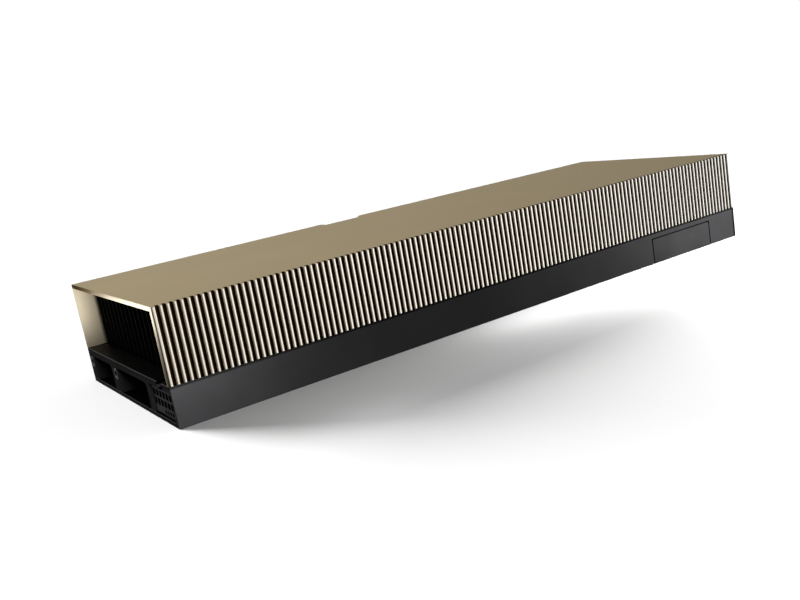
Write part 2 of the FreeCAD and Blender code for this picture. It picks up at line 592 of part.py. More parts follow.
# ---------------------------------------------------------------- backplate
b = new_body("backplate_body")
f = up(b, "backplate_sheet", Z(0), BT, [[
    (X(0), Y("backplate_front")), (X("backplate_end"), Y("backplate_front")), (X("backplate_end"), Y("backplate_far")),
    (X("backplate_tail"), Y("backplate_far")), (X("backplate_tail"), Y("backplate_notch")),
    (X("backplate_step"), Y("backplate_notch")), (X("backplate_step"), Y("backplate_back")), (X(0), Y("backplate_back"))]])
down(b, "clamp_windows", BT + OVER, Z(-OVER), [("circles", [(x, y, S("clamp_head_r") + 0.55) for x, y in CLAMPS])])
tools = []
for i, (x, y) in enumerate(POSTS):
    tools.append(taper("plate_sink_%d" % i, x, y, Z(-0.001), S("long_head_r") + 0.05, S("board_hole_r"), Z(1.2)))
    tools.append(rod("plate_hole_%d" % i, x, y, Z(-0.5), S("board_hole_r"), Z(3.0)))
node(cut("backplate", b, tools), "backplate")

b = new_body("film_body")
up(b, "film_sheet", BT, BT + S("film_thick"), [[
    (X(16.5), Y(4.0)), (X(262.0), Y(4.0)), (X(262.0), Y(85.0)), (X(101.9), Y(85.0)), (X(101.9), Y(90.0)), (X(16.5), Y(90.0))]])
down(b, "film_holes", BT + OVER, BT - OVER, [("circles", [(x, y, S("spacer_r") + 0.3) for x, y in POSTS] + [(x, y, S("clamp_head_r") + 0.55) for x, y in CLAMPS])])
node(b, "insulating_film")

# ------------------------------------------------------------ circuit board
b = new_body("board_body")
f = up(b, "board_sheet", PB, PT, [[
    (X("board_left"), Y("board_front")), (X("board_right"), Y("board_front")), (X("board_right"), Y("board_edge")),
    (X("tongue_right"), Y("board_edge")), (X("tongue_right"), Y("card_depth")),
    (X("key_right"), Y("card_depth")), (X("key_right"), Y("key_floor")), (X("key_left"), Y("key_floor")), (X("key_left"), Y("card_depth")),
    (X("tongue_left"), Y("card_depth")), (X("tongue_left"), Y("board_edge")),
    (X("hook_right"), Y("board_edge")), (X("hook_right"), Y("hook_low")), (X("hook_tip"), Y("hook_low")),
    (X("hook_tip"), Y("hook_neck")), (X("hook_left"), Y("hook_neck")), (X("hook_left"), Y("board_edge")),
    (X("board_step"), Y("board_edge")), (X("board_step"), Y("board_back")), (X("board_left"), Y("board_back")),
    (X("board_left"), Y("sense_cut_back")), (X("sense_cut"), Y("sense_cut_back")), (X("sense_cut"), Y("sense_cut_front")), (X("board_left"), Y("sense_cut_front"))]])
yd = Y("card_depth").value
edges = pick(f.Shape, lambda p, q: near(p.y, yd) and near(q.y, yd) and near(p.z, q.z))
dress(b, "tongue_bevel", "PartDesign::Chamfer", f, edges, "Size", Z(0.4))
down(b, "board_holes", PT + OVER, PB - OVER, [("circles", [(x, y, S("board_hole_r")) for x, y in POSTS] + [(x, y, S("clamp_hole_r")) for x, y in CLAMPS])])
node(b, "circuit_board")

b = new_body("contact_body")
feats = []
for tag, low in (("top", PT), ("under", PB - S("contact_thick"))):
    for run, first, count in (("long", "contact_long_first", "contact_long_count"), ("short", "contact_short_first", "contact_short_count")):
        f = up(b, "contact_%s_%s" % (tag, run), low, low + S("contact_thick"), [
            rect(X(S(first) - S("contact_wide") * 0.5), Y("contact_start"), X(S(first) + S("contact_wide") * 0.5), Y("contact_end"))])
        pattern(b, "contacts_%s_%s" % (tag, run), [f], "X_Axis", S("contact_pitch"), S(count))
node(b, "edge_contacts")

# ---------------------------------------------------- processor and memory
pk_top = PT + S("package_thick")
b = new_body("package_body")
f = up(b, "package", PT, pk_top, [rect(X("package_left"), Y("package_front"), X(S("package_left") + S("package_size")), Y(S("package_front") + S("package_size")))])
edges = pick(f.Shape, lambda p, q: near(p.x, q.x) and near(p.y, q.y))
dress(b, "package_corners", "PartDesign::Fillet", f, edges, "Radius", Z(1.0))
node(b, "gpu_package")
b = new_body("die_body")
up(b, "die", pk_top, S("chamber_low"), [rect(X("die_left"), Y("die_front"), X(S("die_left") + S("die_long")), Y(S("die_front") + S("die_wide")))])
node(b, "gpu_die")


def chip_set(tag, low, high, shrink):
    """Sixteen chips round the processor: five each side, three in front, three behind."""
    bb = new_body(tag + "_body")
    g = as_len(shrink)

    def chip(x, y):
        return rect(x + g, y + g, x + S("chip_long") - g, y + S("chip_wide") - g)
    f1 = up(bb, tag + "_column", low, high, [chip(X("chip_west"), Y("chip_column"))])
    pattern(bb, tag + "_columns", [f1], "X_Axis", S("chip_east") - S("chip_west"), 2, "Y_Axis", S("chip_column_pitch"), 5)
    f2 = up(bb, tag + "_row", low, high, [chip(X("chip_row"), Y("chip_south"))])
    pattern(bb, tag + "_rows", [f2], "X_Axis", S("chip_row_pitch"), 3, "Y_Axis", S("chip_north") - S("chip_south"), 2)
    return bb


node(chip_set("chips", PT, PT + S("chip_thick"), 0.0), "memory_chips")
node(chip_set("back_chips", PB - S("chip_thick"), PB, 0.0), "memory_chips_back")
node(chip_set("chip_pads", PT + S("chip_thick"), S("chamber_low"), 0.5), "memory_pads")

# -------------------------------------------------------------- power stage


def bank(tag, starts, dx, dy, low, high, first=None, pitch_=None, count=None):
    """Rows of one kind of component, in columns that start at the given places."""
    bb = new_body(tag + "_body")
    for i, s in enumerate(starts):
        y_low = Y(S("choke_first") + (S("choke_wide") - dy) * 0.5)
        f1 = up(bb, "%s_%d" % (tag, i), low, high, [rect(X(s), y_low, X(S(s) + dx), y_low + dy)])
        pattern(bb, "%s_column_%d" % (tag, i), [f1], "Y_Axis", S("choke_pitch"), S("choke_count"))
    return bb


node(bank("inductor", ("choke_one", "choke_two", "choke_three"), S("choke_long"), S("choke_wide"), PT, PT + S("choke_tall")), "power_inductors")
node(bank("stage", ("stage_one", "stage_two", "stage_three"), S("stage_long"), S("stage_wide"), PT, PT + S("stage_tall")), "power_stages")
node(bank("blockcap", ("block_one", "block_two"), S("block_long"), S("block_wide"), PT, PT + S("block_tall")), "capacitors")
b = new_body("pad_body")
span = S("choke_pitch") * (S("choke_count") - 1) + S("choke_wide")
up(b, "pad_strips", PT + S("choke_tall"), FT, [
    rect(X(s), Y("choke_first"), X(S(s) + S("choke_long")), Y(S("choke_first") + span)) for s in ("choke_one", "choke_two", "choke_three")])
node(b, "inductor_pads")

cans = []
for i in range(3):
    for j in range(4):
        cans.append(rod("can_%d_%d" % (i, j), X(30.0 + 9.0 * i), Y(32.0 + 9.5 * j), PT, Z(3.15), Z(5.8)))
node(group("bulk_capacitors", cans), "bulk_capacitors")
b = new_body("input_body")
f = up(b, "input_choke", PT, PT + 6.8, [rect(X(28.0), Y(6.0), X(40.0), Y(18.0)), rect(X(43.0), Y(6.0), X(55.0), Y(18.0))])
edges = pick(f.Shape, lambda p, q: near(p.x, q.x) and near(p.y, q.y))
dress(b, "input_rounds", "PartDesign::Fillet", f, edges, "Radius", Z(1.5))
node(b, "input_chokes")
b = new_body("controller_body")
up(b, "controllers", PT, PT + 0.9, [rect(X(240.5), Y(26.0), X(247.5), Y(33.0)), rect(X(240.5), Y(56.0), X(247.5), Y(63.0)), rect(X(240.5), Y(41.0), X(245.5), Y(47.0))])
node(b, "controller_chips")

# ------------------------------------------------------------- power header
b = new_body("header_body")
f = along(b, "header_block", X("header_start"), X("header_end"), [rect(Y("header_front"), S("header_low"), Y("header_back"), S("header_top"))], cut=False)
hs = S("way_size") * 0.5
f = along(b, "way", X(S("header_start") - 0.5), X(S("header_start") + S("way_deep")), [
    rect(Y(S("way_first") - hs), S("way_high") - hs, Y(S("way_first") + hs), S("way_high") + hs),
    rect(Y(S("way_first") - hs), S("way_row") - hs, Y(S("way_first") + hs), S("way_row") + hs)])
pattern(b, "ways", [f], "Y_Axis", S("way_pitch"), 6)
ss = S("sense_size") * 0.5
f = along(b, "sense_way", X(S("header_start") - 0.5), X(S("header_start") + 8.0), [
    rect(Y(S("sense_first") - ss), S("sense_z") - ss, Y(S("sense_first") + ss), S("sense_z") + ss)])
pattern(b, "sense_ways", [f], "Y_Axis", S("sense_pitch"), 4)
ps = S("pin_size") * 0.5
f = along(b, "pin_hole", X(S("header_start") + 5.0), X(S("header_end") + 0.5), [
    rect(Y(S("way_first") - ps), S("way_high") - ps, Y(S("way_first") + ps), S("way_high") + ps),
    rect(Y(S("way_first") - ps), S("way_row") - ps, Y(S("way_first") + ps), S("way_row") + ps)])
pattern(b, "pin_holes", [f], "Y_Axis", S("way_pitch"), 6)
sp = S("sense_pin") * 0.5
f = along(b, "sense_hole", X(S("header_start") + 5.0), X(S("header_end") + 0.5), [
    rect(Y(S("sense_first") - sp), S("sense_z") - sp, Y(S("sense_first") + sp), S("sense_z") + sp)])
pattern(b, "sense_holes", [f], "Y_Axis", S("sense_pitch"), 4)
across(b, "latch_ramp", Y(S("latch_front") + 1.0), Y(S("latch_back") - 1.0), [[
    (X(1.0), S("header_top") - 0.2), (X(3.2), S("header_top") - 0.2), (X(3.2), S("header_top") + 1.3), (X(2.7), S("header_top") + 1.3)]], cut=False)
node(b, "power_connector")

b = new_body("pin_body")
f1 = across(b, "upper_pin", Y(S("way_first") - ps), Y(S("way_first") + ps), [[
    (X("pin_start"), S("way_high") - ps), (X(19.0), S("way_high") - ps), (X(19.0), PT), (X(20.0), PT), (X(20.0), S("way_high") + ps), (X("pin_start"), S("way_high") + ps)]], cut=False)
pattern(b, "upper_pins", [f1], "Y_Axis", S("way_pitch"), 6)
f2 = across(b, "lower_pin", Y(S("way_first") - ps), Y(S("way_first") + ps), [[
    (X("pin_start"), S("way_row") - ps), (X(16.6), S("way_row") - ps), (X(16.6), PT), (X(17.6), PT), (X(17.6), S("way_row") + ps), (X("pin_start"), S("way_row") + ps)]], cut=False)
pattern(b, "lower_pins", [f2], "Y_Axis", S("way_pitch"), 6)
node(b, "power_pins")
b = new_body("sense_body")
f1 = along(b, "sense_contact", X("pin_start"), X("sense_cut"), [
    rect(Y(S("sense_first") - sp), S("sense_z") - sp, Y(S("sense_first") + sp), S("sense_z") + sp)], cut=False)
pattern(b, "sense_contacts", [f1], "Y_Axis", S("sense_pitch"), 4)
node(b, "sense_pins")

# ------------------------------------------------- inserts, posts and screws
parts = []
for i, y in enumerate(("insert_one", "insert_two")):
    outer = rod("insert_outer_%d" % i, X(0), Y(y), S("insert_z"), S("insert_r_out"), S("insert_long"), "X")
    inner = rod("insert_inner_%d" % i, X(-0.5), Y(y), S("insert_z"), S("insert_r_in"), S("insert_long") + 1.0, "X")
    parts.append(cut("insert_%d" % i, outer, [inner]))
node(group("rear_inserts", parts), "rear_inserts")

parts = []
for i, (x, y) in enumerate(POSTS):
    hexa = doc.addObject("Part::Prism", "post_hex_%d" % i)
    hexa.Polygon = 6
    bind(hexa, "Circumradius", S("post_flats") * 0.57735)
    bind(hexa, "Height", FT - PT)
    place(hexa, x, y, PT)
    spigot = rod("post_spigot_%d" % i, x, y, FT - 0.5, Z(1.6), Z(1.2))
    solid = fuse("post_solid_%d" % i, [hexa, spigot])
    bore = rod("post_bore_%d" % i, x, y, PT - 0.5, S("post_bore_r"), Z(5.5))
    parts.append(cut("post_%d" % i, solid, [bore]))
node(group("board_standoffs", parts), "board_standoffs")

parts = []
for i, (x, y) in enumerate(POSTS):
    ring = rod("spacer_outer_%d" % i, x, y, BT, S("spacer_r"), PB - BT)
    hole = rod("spacer_inner_%d" % i, x, y, BT - 0.5, S("board_hole_r"), PB - BT + 1.0)
    parts.append(cut("spacer_%d" % i, ring, [hole]))
node(group("board_spacers", parts), "board_spacers")

parts = []
for i, (x, y) in enumerate(POSTS):
    head = taper("long_head_%d" % i, x, y, Z(0), S("long_head_r"), S("long_shank_r"), Z(1.2))
    shank = rod("long_shank_%d" % i, x, y, Z(0.6), S("long_shank_r"), Z(7.6))
    drive = doc.addObject("Part::Prism", "long_drive_%d" % i)
    drive.Polygon = 6
    bind(drive, "Circumradius", Z(0.85))
    bind(drive, "Height", Z(1.1))
    place(drive, x, y, Z(-0.4))
    parts.append(cut("long_screw_%d" % i, fuse("long_body_%d" % i, [head, shank]), [drive]))
node(group("backplate_screws", parts), "backplate_screws")

parts = []
for i, (x, y) in enumerate(CLAMPS):
    head = rod("clamp_head_%d" % i, x, y, Z(0.4), S("clamp_head_r"), Z(1.4))
    shank = rod("clamp_shank_%d" % i, x, y, Z(1.0), S("clamp_shank_r"), Z(11.2))
    drive = doc.addObject("Part::Prism", "clamp_drive_%d" % i)
    drive.Polygon = 6
    bind(drive, "Circumradius", Z(1.1))
    bind(drive, "Height", Z(0.9))
    place(drive, x, y, Z(0.3))
    parts.append(cut("clamp_screw_%d" % i, fuse("clamp_body_%d" % i, [head, shank]), [drive]))
node(group("gpu_screws", parts), "gpu_screws")

b = new_body("brace_body")
w_, e_, s_, n_ = S("screw_west"), S("screw_east"), S("screw_south"), S("screw_north")
f = up(b, "brace_plate", PB - S("chip_thick"), PB, [[
    (X(w_ - 2.4), Y(s_ - 2.8)), (X(w_ + 2.6), Y(s_ - 2.8)), (X(w_ + 2.6), Y(24.0)), (X(e_ - 2.6), Y(24.0)),
    (X(e_ - 2.6), Y(s_ - 2.8)), (X(e_ + 2.4), Y(s_ - 2.8)), (X(e_ + 2.4), Y(n_ + 2.8)), (X(e_ - 2.6), Y(n_ + 2.8)),
    (X(e_ - 2.6), Y(68.0)), (X(w_ + 2.6), Y(68.0)), (X(w_ + 2.6), Y(n_ + 2.8)), (X(w_ - 2.4), Y(n_ + 2.8))]])
down(b, "brace_window", PB + OVER, BT, [rect(X(w_ + 8.0), Y(31.0), X(e_ - 8.0), Y(61.0))])
down(b, "brace_holes", PB + OVER, BT, [("circles", [(x, y, S("clamp_shank_r") + 0.2) for x, y in CLAMPS])])
node(b, "gpu_brace")

# ---------------------------------------------------------------- end plate
b = new_body("plate_body")
xe = X("frame_end")
along(b, "plate_sheet", xe, X("card_length"), [[
    (Y(0), Z(0)), (Y("body_depth"), Z(0)), (Y("body_depth"), BH), (Y(W - S("back_wall") - 0.1), BH),
    (Y(W - S("back_wall") - 0.1), H - S("top_thick") - 0.1), (Y(S("front_wall") + 0.1), H - S("top_thick") - 0.1),
    (Y(S("front_wall") + 0.1), BH), (Y(0), BH)]], cut=False)
vw = S("vent_wide") * 0.5
v = along(b, "vent", X(S("frame_end") - 0.5), X(LEN + 0.5), [("arc", [
    (Y(S("vent_first") - vw), S("vent_low") + 1.6), (Y(S("vent_first") - vw + 1.6), S("vent_low")),
    (Y(S("vent_first") + vw - 1.6), S("vent_low")), (Y(S("vent_first") + vw), S("vent_low") + 1.6),
    (Y(S("vent_first") + vw), S("vent_top") - 1.6), (Y(S("vent_first") + vw - 1.6), S("vent_top")),
    (Y(S("vent_first") - vw + 1.6), S("vent_top")), (Y(S("vent_first") - vw), S("vent_top") - 1.6)],
    {0: (1.6, -1), 2: (1.6, -1), 4: (1.6, -1), 6: (1.6, -1)})])
pattern(b, "vents", [v], "Y_Axis", S("vent_pitch"), S("vent_count"))
along(b, "bracket_holes", X(S("frame_end") - 0.5), X(LEN + 0.5), [("circles", [
    (Y("bracket_hole_one"), S("bracket_hole_z"), S("bracket_hole_r")), (Y("bracket_hole_two"), S("bracket_hole_z"), S("bracket_hole_r"))])])
PLATE_SCREWS = [("plate_screw_y_one", "plate_screw_low"), ("plate_screw_y_two", "plate_screw_low"),
                ("plate_screw_y_three", "plate_screw_high"), ("plate_screw_y_four", "plate_screw_high")]
tools = []
for i, (y, z) in enumerate(PLATE_SCREWS):
    tools.append(taper("end_sink_%d" % i, X(LEN + 0.001), Y(y), S(z), S("small_head_r") + 0.05, S("small_neck_r"), S("small_head_deep"), "-X"))
    tools.append(rod("end_hole_%d" % i, X(LEN + 0.5), Y(y), S(z), S("small_neck_r"), Z(3.0), "-X"))
node(cut("end_plate", b, tools), "end_plate")

parts = []
for i, (y, z) in enumerate(PLATE_SCREWS):
    head = taper("end_head_%d" % i, X("card_length"), Y(y), S(z), S("small_head_r"), S("small_shank_r"), S("small_head_deep"), "-X")
    shank = rod("end_shank_%d" % i, X(LEN - 0.5), Y(y), S(z), S("small_shank_r"), Z(5.5), "-X")
    drive = rod("end_drive_%d" % i, X(LEN + 0.4), Y(y), S(z), Z(0.7), Z(0.9), "-X")
    parts.append(cut("end_screw_%d" % i, fuse("end_body_%d" % i, [head, shank]), [drive]))
node(group("end_plate_screws", parts), "end_plate_screws")

parts = []
for i, t in enumerate(("tab_one", "tab_two", "tab_three", "tab_four")):
    head = taper("side_head_%d" % i, X(t), Y("body_depth"), S("tab_hole_z"), S("small_head_r"), S("small_shank_r"), S("small_head_deep"), "-Y")
    shank = rod("side_shank_%d" % i, X(t), Y(W - 0.5), S("tab_hole_z"), S("small_shank_r"), Z(2.3), "-Y")
    drive = rod("side_drive_%d" % i, X(t), Y(W + 0.4), S("tab_hole_z"), Z(0.7), Z(0.9), "-Y")
    parts.append(cut("side_screw_%d" % i, fuse("side_body_%d" % i, [head, shank]), [drive]))
node(group("shroud_screws", parts), "shroud_screws")

# --------------------------------------------------------------- check, write
doc.recompute()
bad = []
for obj in doc.Objects:
    if "Invalid" in obj.State or "Error" in obj.State:
        bad.append("%s %s" % (obj.Name, obj.State))
if bad:
    raise RuntimeError("failed objects: " + "; ".join(bad))

os.makedirs("parts", exist_ok=True)
for label, obj in NODES:
    shape = obj.Shape
    if shape.isNull() or not shape.isValid() or not shape.Solids:
        raise RuntimeError("bad shape in " + label)
total = 0.0
for label, obj in NODES:
    shape = obj.Shape
    if shape.ShapeType == "Compound" and len(shape.Solids) == 1:
        shape = shape.Solids[0]
    bb = shape.BoundBox
    print("%-18s solids %3d  volume %10.1f  box %8.2f %8.2f %7.2f .. %8.2f %8.2f %7.2f" % (
        label, len(obj.Shape.Solids), obj.Shape.Volume, bb.XMin, bb.YMin, bb.ZMin, bb.XMax, bb.YMax, bb.ZMax))
    obj.Shape.exportStep("parts/%s.step" % label)
    total += obj.Shape.Volume
print("nodes %d, total volume %.1f mm3" % (len(NODES), total))
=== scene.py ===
import math

import bmesh
import bpy
from mathutils import Matrix, Vector


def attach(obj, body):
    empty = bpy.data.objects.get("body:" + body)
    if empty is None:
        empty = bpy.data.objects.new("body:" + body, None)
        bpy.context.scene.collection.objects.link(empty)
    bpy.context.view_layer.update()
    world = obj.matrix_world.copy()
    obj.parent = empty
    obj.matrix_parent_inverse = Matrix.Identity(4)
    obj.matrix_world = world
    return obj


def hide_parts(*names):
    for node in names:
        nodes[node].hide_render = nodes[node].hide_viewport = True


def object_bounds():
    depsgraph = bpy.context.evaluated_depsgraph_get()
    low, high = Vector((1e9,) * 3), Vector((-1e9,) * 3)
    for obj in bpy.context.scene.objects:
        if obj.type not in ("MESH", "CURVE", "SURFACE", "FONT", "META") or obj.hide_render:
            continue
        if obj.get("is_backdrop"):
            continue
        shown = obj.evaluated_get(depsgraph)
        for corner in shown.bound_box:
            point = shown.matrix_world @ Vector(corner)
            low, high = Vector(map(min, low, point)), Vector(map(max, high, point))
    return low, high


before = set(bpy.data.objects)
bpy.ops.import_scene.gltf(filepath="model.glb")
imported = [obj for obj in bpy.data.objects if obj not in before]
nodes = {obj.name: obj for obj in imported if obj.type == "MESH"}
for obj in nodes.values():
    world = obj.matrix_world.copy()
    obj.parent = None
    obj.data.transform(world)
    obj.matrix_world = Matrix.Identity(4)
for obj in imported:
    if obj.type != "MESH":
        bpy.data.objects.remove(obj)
CAD_LO, CAD_HI = (list(v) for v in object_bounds())
scene = bpy.context.scene

MM = 0.001
X0, Y0 = CAD_LO[0], CAD_LO[1]          # inlet end, ribbed front face


# ------------------------------------------------------------------- camera
def make_camera():
    cam = bpy.data.cameras.new("view_camera")
    cam.sensor_fit = "HORIZONTAL"
    cam.sensor_width = 36.0
    cam.lens = 895.743 / 800.0 * 36.0
    cam.shift_x = -0.05
    cam.shift_y = -0.00625
    cam.clip_start = 0.01
    cam.clip_end = 100.0
    ob = bpy.data.objects.new("view_camera", cam)
    scene.collection.objects.link(ob)
    right = Vector((0.79883433, -0.57962981, -0.16091301)).normalized()
    back = -Vector((0.54598625, 0.81091199, -0.21052496)).normalized()
    up = back.cross(right).normalized()
    right = up.cross(back)
    m = Matrix.Identity(4)
    for i in range(3):
        m[i][0], m[i][1], m[i][2] = right[i], up[i], back[i]
    m[0][3], m[1][3], m[2][3] = -0.207508, -0.313663, 0.082514
    ob.matrix_world = m
    scene.camera = ob
    return ob


# ---------------------------------------------------------------- materials
class Graph:
    """A material's node tree, with short calls for the few nodes it needs."""

    def __init__(self, material):
        material.use_nodes = True
        self.mat = material
        self.tree = material.node_tree
        self.tree.nodes.clear()
        self.out = self.add("ShaderNodeOutputMaterial")
        self.shader = self.add("ShaderNodeBsdfPrincipled")
        self.link(self.shader.outputs[0], self.out.inputs["Surface"])
        self.coord = self.add("ShaderNodeTexCoord").outputs["Object"]

    def add(self, kind, **props):
        n = self.tree.nodes.new(kind)
        for k, v in props.items():
            setattr(n, k, v)
        return n

    def link(self, a, b):
        self.tree.links.new(a, b)

    def put(self, socket, value):
        if isinstance(value, bpy.types.NodeSocket):
            self.link(value, socket)
        else:
            socket.default_value = value

    def stretch(self, scale, offset=(0.0, 0.0, 0.0)):
        n = self.add("ShaderNodeMapping")
        self.link(self.coord, n.inputs["Vector"])
        n.inputs["Location"].default_value = offset
        n.inputs["Scale"].default_value = scale
        return n.outputs[0]

    def noise(self, scale, detail=3.0, rough=0.55, vector=None, distortion=0.0):
        n = self.add("ShaderNodeTexNoise")
        self.link(vector or self.coord, n.inputs["Vector"])
        n.inputs["Scale"].default_value = scale
        n.inputs["Detail"].default_value = detail
        n.inputs["Roughness"].default_value = rough
        n.inputs["Distortion"].default_value = distortion
        return n.outputs["Fac"]

    def cells(self, scale, vector=None, feature="F1", out="Distance"):
        n = self.add("ShaderNodeTexVoronoi", feature=feature)
        self.link(vector or self.coord, n.inputs["Vector"])
        n.inputs["Scale"].default_value = scale
        return n.outputs[out]

    def ramp(self, fac, stops, ease="LINEAR"):
        n = self.add("ShaderNodeValToRGB")
        n.color_ramp.interpolation = ease
        e = n.color_ramp.elements
        while len(e) < len(stops):
            e.new(0.5)
        for k, (p, c) in enumerate(stops):
            e[k].position = p
            e[k].color = c if len(c) == 4 else (*c, 1.0)
        self.link(fac, n.inputs["Fac"])
        return n.outputs["Color"]

    def span(self, fac, lo, hi, a=0.0, b=1.0):
        n = self.add("ShaderNodeMapRange")
        self.link(fac, n.inputs["Value"])
        n.inputs["From Min"].default_value = a
        n.inputs["From Max"].default_value = b
        n.inputs["To Min"].default_value = lo
        n.inputs["To Max"].default_value = hi
        return n.outputs["Result"]

    def math(self, op, a, b=0.0):
        n = self.add("ShaderNodeMath", operation=op)
        self.put(n.inputs[0], a)
        self.put(n.inputs[1], b)
        return n.outputs[0]

    def mix(self, fac, a, b):
        n = self.add("ShaderNodeMix", data_type="RGBA")
        self.put(n.inputs["Factor"], fac)
        for s, v in ((n.inputs[6], a), (n.inputs[7], b)):
            self.put(s, v if isinstance(v, bpy.types.NodeSocket) else (*v[:3], 1.0))
        return n.outputs[2]

    def bump(self, height, strength, distance, normal=None):
        n = self.add("ShaderNodeBump")
        n.inputs["Strength"].default_value = strength
        n.inputs["Distance"].default_value = distance
        self.link(height, n.inputs["Height"])
        if normal is not None:
            self.link(normal, n.inputs["Normal"])
        return n.outputs["Normal"]

    def set(self, **values):
        names = {"color": "Base Color", "metal": "Metallic", "rough": "Roughness", "normal": "Normal",
                 "spec": "Specular IOR Level", "ior": "IOR", "coat": "Coat Weight", "coat_rough": "Coat Roughness",
                 "aniso": "Anisotropic", "sheen": "Sheen Weight", "tint": "Specular Tint"}
        for k, v in values.items():
            s = self.shader.inputs[names[k]]
            if k in ("color", "tint") and not isinstance(v, bpy.types.NodeSocket):
                v = (*v[:3], 1.0)
            self.put(s, v)


def fresh(slot):
    m = bpy.data.materials.new(slot)
    return Graph(m)


MATS = {}


def metal(slot, dark, light, rough, grain=6000.0, bump=0.12, depth=6e-6, cloud=35.0, metallic=1.0, spread=0.05, **more):
    """Blasted and anodised or plated metal: fine grain, faint clouding."""
    g = fresh(slot)
    fine = g.noise(grain, 2.0, 0.6)
    broad = g.noise(cloud, 4.0, 0.6)
    both = g.math("ADD", g.math("MULTIPLY", fine, 0.35), g.math("MULTIPLY", broad, 0.65))
    g.set(color=g.ramp(both, [(0.32, dark), (0.68, light)]), metal=metallic,
          rough=g.span(both, rough + spread, rough - spread, 0.3, 0.7),
          normal=g.bump(fine, bump, depth), **more)
    MATS[slot] = g.mat
    return g


def gold():
    """The shroud: satin gold anodising, with a painted highlight on the rib noses and painted shade down in the
    grooves.
    """
    g = fresh("gold_anodised")
    fine = g.noise(7000.0, 2.0, 0.6)
    broad = g.noise(22.0, 4.0, 0.6)
    both = g.math("ADD", g.math("MULTIPLY", fine, 0.35), g.math("MULTIPLY", broad, 0.65))
    plain = g.ramp(both, [(0.32, (0.600, 0.520, 0.375)), (0.68, (0.650, 0.567, 0.412))])
    parts = g.add("ShaderNodeSeparateXYZ")
    g.link(g.coord, parts.inputs[0])
    normal = g.add("ShaderNodeSeparateXYZ")
    g.link(g.add("ShaderNodeNewGeometry").outputs["Normal"], normal.inputs[0])
    depth = g.math("MULTIPLY", g.math("SUBTRACT", parts.outputs["Y"], Y0), 1000.0)
    into = g.span(depth, 0.0, 1.0, 0.0, 2.0)
    # painted highlight and shade: the rib noses are painted pale and the grooves near-black with depth, warmer at the
    # inlet end and cooler at the far end
    warm_painted_ribs = g.ramp(into, [
        (0.0, (0.97, 0.90, 0.76)), (0.10, (0.90, 0.79, 0.61)), (0.24, (0.46, 0.33, 0.18)),
        (0.48, (0.13, 0.075, 0.032)), (0.80, (0.060, 0.026, 0.010))], "EASE")
    cool_painted_ribs = g.ramp(into, [
        (0.0, (0.94, 0.92, 0.86)), (0.12, (0.88, 0.83, 0.74)), (0.26, (0.48, 0.40, 0.29)),
        (0.50, (0.14, 0.10, 0.060)), (0.80, (0.070, 0.045, 0.025))], "EASE")
    along = g.span(parts.outputs["X"], 0.0, 1.0, X0, CAD_HI[0])
    painted_rib_light = g.mix(along, warm_painted_ribs, cool_painted_ribs)
    flat = g.math("POWER", g.math("ABSOLUTE", normal.outputs["Z"]), 2.0)
    front = g.math("LESS_THAN", depth, 2.0)
    mask = g.math("MULTIPLY", front, g.math("SUBTRACT", 1.0, flat))
    # painted highlight: the inlet end face is painted bright at the front, fading to painted shade towards the back
    edge = g.math("MULTIPLY", g.math("LESS_THAN", g.math("SUBTRACT", parts.outputs["X"], X0), 0.15 * MM),
                  g.math("POWER", g.math("ABSOLUTE", normal.outputs["X"]), 4.0))
    painted_end_light = g.ramp(g.span(g.math("SUBTRACT", parts.outputs["Y"], Y0), 0.0, 1.0, 0.0, 0.0946), [
        (0.45, (0.94, 0.90, 0.83)), (0.62, (0.60, 0.52, 0.42)), (0.78, (0.20, 0.15, 0.10)), (0.92, (0.03, 0.022, 0.015))], "EASE")
    body = g.mix(edge, g.mix(mask, plain, painted_rib_light), painted_end_light)
    # painted shade: the front wall's inlet corner is painted dark brown towards its foot
    corner = g.math("LESS_THAN", g.math("SUBTRACT", parts.outputs["X"], X0), 0.45 * MM)
    painted_foot_shade = g.span(parts.outputs["Z"], 0.86, 0.22, 14.0 * MM, 37.0 * MM)
    body = g.mix(g.math("MULTIPLY", g.math("MULTIPLY", corner, front), painted_foot_shade), body, (0.06, 0.040, 0.018))
    g.set(color=body, metal=1.0, tint=(0.70, 0.61, 0.45), rough=g.span(both, 0.43, 0.35, 0.3, 0.7),
          normal=g.bump(fine, 0.10, 5e-6))
    MATS["gold_anodised"] = g.mat


def plastic(slot, dark, light, rough, grain=2600.0, bump=0.15, depth=1.2e-5, cloud=60.0, spread=0.06, **more):
    """Moulded plastic: a spark-eroded grain with small pits."""
    g = fresh(slot)
    fine = g.noise(grain, 3.0, 0.65)
    pits = g.cells(grain * 0.7)
    broad = g.noise(cloud, 3.0, 0.5)
    h = g.math("ADD", g.math("MULTIPLY", fine, 0.6), g.math("MULTIPLY", pits, 0.4))
    g.set(color=g.ramp(broad, [(0.35, dark), (0.65, light)]), metal=0.0,
          rough=g.span(fine, rough + spread, rough - spread, 0.3, 0.7),
          normal=g.bump(h, bump, depth), **more)
    MATS[slot] = g.mat
    return g


